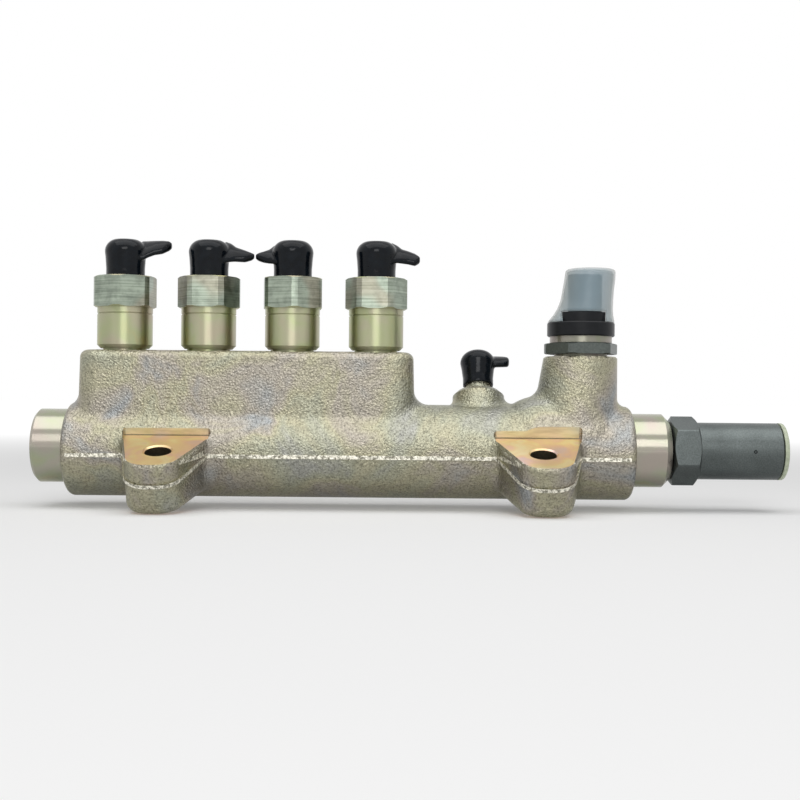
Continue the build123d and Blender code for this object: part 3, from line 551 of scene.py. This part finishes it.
def lathe(bm, profile, sides=64):
    """Closed skin turned from (radius, height, lean) points, which start and end on the axis."""
    rings = []
    for radius, height, lean in profile:
        count = sides if radius > 1e-6 else 1
        angles = [2 * math.pi * i / sides for i in range(count)]
        rings.append([
            bm.verts.new((lean + radius * math.cos(a), radius * math.sin(a), height))
            for a in angles
        ])
    for lower, upper in zip(rings, rings[1:]):
        for i in range(sides):
            corners = [
                lower[i % len(lower)], lower[(i + 1) % len(lower)],
                upper[(i + 1) % len(upper)], upper[i % len(upper)],
            ]
            distinct = list(dict.fromkeys(corners))
            bm.faces.new(distinct)


def arc_points(centre, radius, start, stop, steps):
    """(radius, height) points on an arc between two angles in degrees."""
    angles = [math.radians(start + (stop - start) * i / steps) for i in range(steps + 1)]
    return [(centre[0] + radius * math.cos(a), centre[1] + radius * math.sin(a)) for a in angles]


TAB_THICK = 0.0023
TAB_TWIST = math.radians(42)
TAB_SIDES = 24


def blade(bm, stations, direction):
    """Finger tab lofted along X through (distance, height, half of its height in view) stations."""
    across, along = math.sin(TAB_TWIST), math.cos(TAB_TWIST)
    rings = []
    for distance, height, half in stations:
        flat = min(TAB_THICK, half)
        rise = flat * along
        wide = max(flat, math.sqrt(half * half - rise * rise) / across)
        ring = []
        for i in range(TAB_SIDES):
            a = 2 * math.pi * i / TAB_SIDES
            u, v = wide * math.cos(a), flat * math.sin(a)
            ring.append(bm.verts.new((
                direction * distance, u * along - v * across,
                height + u * across + v * along,
            )))
        rings.append(ring)
    for lower, upper in zip(rings, rings[1:]):
        for i in range(TAB_SIDES):
            j = (i + 1) % TAB_SIDES
            bm.faces.new((lower[i], lower[j], upper[j], upper[i]))
    bm.faces.new(rings[0][::-1])
    bm.faces.new(rings[-1])


def scratch_object(bm, name):
    """Temporary object made from a bmesh, for a modifier to work on."""
    mesh = bpy.data.meshes.new(name)
    bm.to_mesh(mesh)
    bm.free()
    obj = bpy.data.objects.new(name, mesh)
    bpy.context.scene.collection.objects.link(obj)
    return obj


def baked(obj):
    """Mesh of a temporary object with its modifiers applied."""
    graph = bpy.context.evaluated_depsgraph_get()
    mesh = bpy.data.meshes.new_from_object(obj.evaluated_get(graph))
    bpy.data.objects.remove(obj)
    return mesh


def melted(bm, name, voxel, relax):
    """Joins overlapping skins into one soft form."""
    bmesh.ops.recalc_face_normals(bm, faces=bm.faces)
    obj = scratch_object(bm, name)
    remesh = obj.modifiers.new("join", "REMESH")
    remesh.mode = "VOXEL"
    remesh.voxel_size = voxel
    soften = obj.modifiers.new("soften", "SMOOTH")
    soften.factor = 0.5
    soften.iterations = relax
    return baked(obj)


def slotted(bm, low, high):
    """Cuts a box between two corners out of a closed skin."""
    low, high = Vector(low), Vector(high)
    box = bmesh.new()
    bmesh.ops.create_cube(box, size=1.0)
    bmesh.ops.scale(box, vec=high - low, verts=box.verts)
    bmesh.ops.translate(box, vec=(low + high) / 2, verts=box.verts)
    cutter = scratch_object(box, "slot")
    obj = scratch_object(bm, "skin")
    cut = obj.modifiers.new("cut", "BOOLEAN")
    cut.object = cutter
    cut.solver = "EXACT"
    mesh = baked(obj)
    bpy.data.objects.remove(cutter)
    return mesh


# Finger tabs in mm: distance from the cap's axis, height above its rim, half of the height in view.
CAP_TABS = (
    (1, ((7.0, 12.6, 5.1), (9.6, 12.8, 5.0), (11.5, 13.4, 4.4), (14.3, 14.0, 3.8),
         (17.9, 14.3, 3.5), (20.7, 14.9, 2.4), (22.0, 15.0, 1.3))),
    (1, ((7.0, 12.3, 5.7), (9.8, 12.0, 5.0), (12.5, 11.2, 3.8), (17.3, 10.3, 3.0),
         (20.1, 10.2, 1.9), (21.5, 10.4, 1.1))),
    (-1, ((7.0, 11.9, 5.5), (9.6, 11.2, 4.8), (11.5, 10.4, 3.7), (14.0, 10.1, 2.9),
          (16.4, 10.1, 2.0), (17.8, 10.2, 1.1))),
    (1, ((7.0, 12.5, 5.7), (9.8, 12.0, 4.7), (12.0, 11.0, 3.8), (14.9, 10.4, 3.5),
         (18.3, 9.4, 3.2), (20.0, 9.3, 2.0), (20.7, 9.4, 1.2))),
)
INLET_TAB = (1, ((6.4, 13.0, 4.1), (9.5, 13.1, 4.0), (12.5, 13.1, 3.7), (14.6, 13.0, 3.0),
                 (15.4, 12.9, 1.6)))


CAP_LENGTH = 0.0180
CAP_WALL = 0.0016
CAP_DOME = 0.0060
CAP_SKIRT = 0.004
CAP_VOXEL = 0.00042
CAP_SOFTENING = 3

# radius of a cap's skirt, of its head and of its cavity
DAMPER_CAP_RADII = (0.0091, 0.0098, 0.00685)
INLET_CAP_RADII = (0.0074, 0.0086, 0.00605)


def rubber_cap(node, place, radii, tab):
    """Dipped cap: straight skirt, fuller head, domed top and a finger tab, one soft skin."""
    base_r, bulb_r, cavity_r = radii
    crown = CAP_LENGTH - CAP_DOME
    skin = [(cavity_r, 0), (base_r, 0), (base_r, CAP_SKIRT)]
    skin += [((base_r + bulb_r) / 2, crown * 0.75)]
    skin += arc_points((bulb_r - CAP_DOME, crown), CAP_DOME, 0, 72, 8)
    inside = [(0, CAP_LENGTH - CAP_WALL), (cavity_r, CAP_LENGTH - CAP_WALL)]
    bm = bmesh.new()
    lathe(bm, [(r, h, 0) for r, h in inside + skin + [(0, CAP_LENGTH)]])
    direction, stations = tab
    blade(bm, [tuple(v / 1000 for v in station) for station in stations], direction)
    mesh = melted(bm, node, CAP_VOXEL, CAP_SOFTENING)
    mesh.transform(place)
    mesh_object(f"{node}_skin", mesh, rubber, node)


def dress_caps():
    """The four caps of the dampers and the small one of the inlet, which leans back."""
    for n, tab in enumerate(CAP_TABS, 1):
        axis = middle(f"flow_damper_stopper_{n}")
        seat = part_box(f"flow_damper_body_{n}")[1].z - STUB_LENGTH
        place = Matrix.Translation((axis.x, axis.y, seat))
        rubber_cap(f"dust_cap_{n}", place, DAMPER_CAP_RADII, tab)
    lean = Matrix.Rotation(-INLET_LEAN, 4, "X")
    foot = Vector((INLET_X, RAIL_AXIS.y, RAIL_AXIS.z)) + lean @ Vector((0, 0, INLET_CAP_UP))
    rubber_cap("inlet_dust_cap", Matrix.Translation(foot) @ lean, INLET_CAP_RADII, INLET_TAB)


# Sides of the sensor's cover: radius, height above its rim, lean to the right.
COVER_SIDES = (
    (0.0158, 0.0000, 0.0000), (0.0154, 0.0012, 0.0003), (0.0143, 0.0034, 0.0010),
    (0.0132, 0.0066, 0.0019), (0.0125, 0.0105, 0.0027), (0.0122, 0.0155, 0.0033),
    (0.0121, 0.0205, 0.0040),
)
COVER_SHOULDER = (0.0119, 0.0016, 0.0043)
COVER_TOP_R = 0.0104
COVER_ROUND = 0.0015
COVER_WALL = 0.0009
COVER_HEAD = 0.02
COVER_SLOT = ((-0.01025, -0.020, -0.002), (0.01025, -0.005, 0.00475))


def dress_cover():
    """Soft translucent cover: a skirt on the ring, a waist, and a top that leans to the right."""
    low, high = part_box("sensor_dust_cap")
    axis = middle("sensor_seal")
    height = high.z - low.z
    shoulder_r, shoulder_down, lean = COVER_SHOULDER
    sides = [*COVER_SIDES, (shoulder_r, height - shoulder_down, lean)]
    edge = arc_points((COVER_TOP_R, height - COVER_ROUND), COVER_ROUND, 15, 90, 4)
    skin = sides + [(r, h, lean) for r, h in edge] + [(0, height, lean)]
    lining = []
    for r, h, shift in skin:
        drop = COVER_WALL if h > COVER_HEAD else 0
        lining.append((max(0, r - COVER_WALL), h - drop, shift))
    bm = bmesh.new()
    lathe(bm, lining[::-1] + skin, 96)
    bmesh.ops.recalc_face_normals(bm, faces=bm.faces)
    mesh = slotted(bm, *COVER_SLOT)
    mesh.transform(Matrix.Translation((axis.x, axis.y, low.z)))
    mesh_object("cover_skin", mesh, cover_plastic, "sensor_dust_cap")


dress_rail()
for number in range(1, 5):
    dress_damper(number)
dress_sensor()
dress_limiter()
dress_caps()
dress_cover()


# ---------------------------------------------------------------- studio
def background_rays(s):
    """1 for the rays that see the background: those of the camera, of gloss and of glass."""
    rays = s.add("ShaderNodeLightPath").outputs
    seen = s.math("MAXIMUM", rays["Is Camera Ray"], rays["Is Glossy Ray"])
    return s.math("MAXIMUM", seen, rays["Is Transmission Ray"])


def stage_floor():
    """Pale floor that takes the shadow, and turns white further out like the background."""
    bpy.ops.mesh.primitive_plane_add(size=FLOOR_SIZE, location=(0.1, 0, cad_low.z - FLOOR_GAP))
    floor = bpy.context.object
    floor.name = "floor"
    s = Shader("Floor")
    pale = s.add("ShaderNodeBsdfDiffuse", Color=(FLOOR_GREY, FLOOR_GREY, FLOOR_GREY, 1))
    away = s.add("ShaderNodeVectorMath", {"operation": "LENGTH"}, Vector=s.pos)
    far = s.between(away.outputs["Value"], *FLOOR_FADE)
    near_lift, far_lift = FLOOR_LIFT
    lift = s.math("MULTIPLY_ADD", far, far_lift - near_lift, near_lift)
    lift = s.math("MULTIPLY", background_rays(s), lift)
    glow = s.add("ShaderNodeEmission", Color=(1, 1, 1, 1), Strength=lift)
    both = s.add("ShaderNodeAddShader")
    s.put(both.inputs[0], pale.outputs[0])
    s.put(both.inputs[1], glow.outputs[0])
    s.put(s.out.inputs["Surface"], both.outputs[0])
    floor.data.materials.append(s.mat)


def stage_lamp(name, place, size, power):
    """Soft rectangular lamp that points at the rail."""
    lamp = bpy.data.lights.new(name, "AREA")
    lamp.shape = "RECTANGLE"
    lamp.size, lamp.size_y = size
    lamp.energy = power
    obj = bpy.data.objects.new(name, lamp)
    bpy.context.scene.collection.objects.link(obj)
    obj.location = place
    target = Vector((LAMP_TARGET_X, RAIL_AXIS.y, RAIL_AXIS.z + LAMP_TARGET_UP))
    direction = target - obj.location
    obj.rotation_euler = direction.to_track_quat("-Z", "Y").to_euler()


class Sky(Shader):
    """The world, with the same short names."""

    def __init__(self):
        world = bpy.data.worlds.new("World")
        bpy.context.scene.world = world
        world.use_nodes = True
        self.tree = world.node_tree
        self.tree.nodes.clear()
        self.out = self.add("ShaderNodeOutputWorld")
        self.pos = self.add("ShaderNodeTexCoord").outputs["Generated"]


def stage_world():
    """White background all round, and the same white, dimmer, as the room's light."""
    s = Sky()
    level = s.math("MULTIPLY_ADD", background_rays(s), 1.0 - ROOM_LIGHT, ROOM_LIGHT)
    white = s.add("ShaderNodeBackground", Color=(1, 1, 1, 1), Strength=level)
    s.put(s.out.inputs["Surface"], white.outputs[0])


def stage_camera():
    """Level camera in front of the rail, with the photograph's slight roll."""
    lens = bpy.data.cameras.new("camera")
    lens.lens = CAMERA_LENS
    lens.sensor_width = CAMERA_SENSOR
    lens.clip_start = CAMERA_CLIP
    lens.dof.use_dof = False
    camera = bpy.data.objects.new("camera", lens)
    bpy.context.scene.collection.objects.link(camera)
    across, along = math.sin(CAMERA_ROLL), math.cos(CAMERA_ROLL)
    camera.matrix_world = Matrix((
        (along, -across, 0, CAMERA_X),
        (0, 0, -1, RAIL_AXIS.y - CAMERA_BACK),
        (across, along, 0, CAMERA_Z),
        (0, 0, 0, 1),
    ))
    bpy.context.scene.camera = camera


stage_floor()
stage_lamp("top", (0.12, -0.20, 1.10), (1.8, 1.0), 8.8)
stage_lamp("front", (0.12, -1.25, 0.62), (0.60, 0.55), 4.6)
stage_world()
stage_camera()
bpy.context.scene.view_settings.view_transform = "Standard"
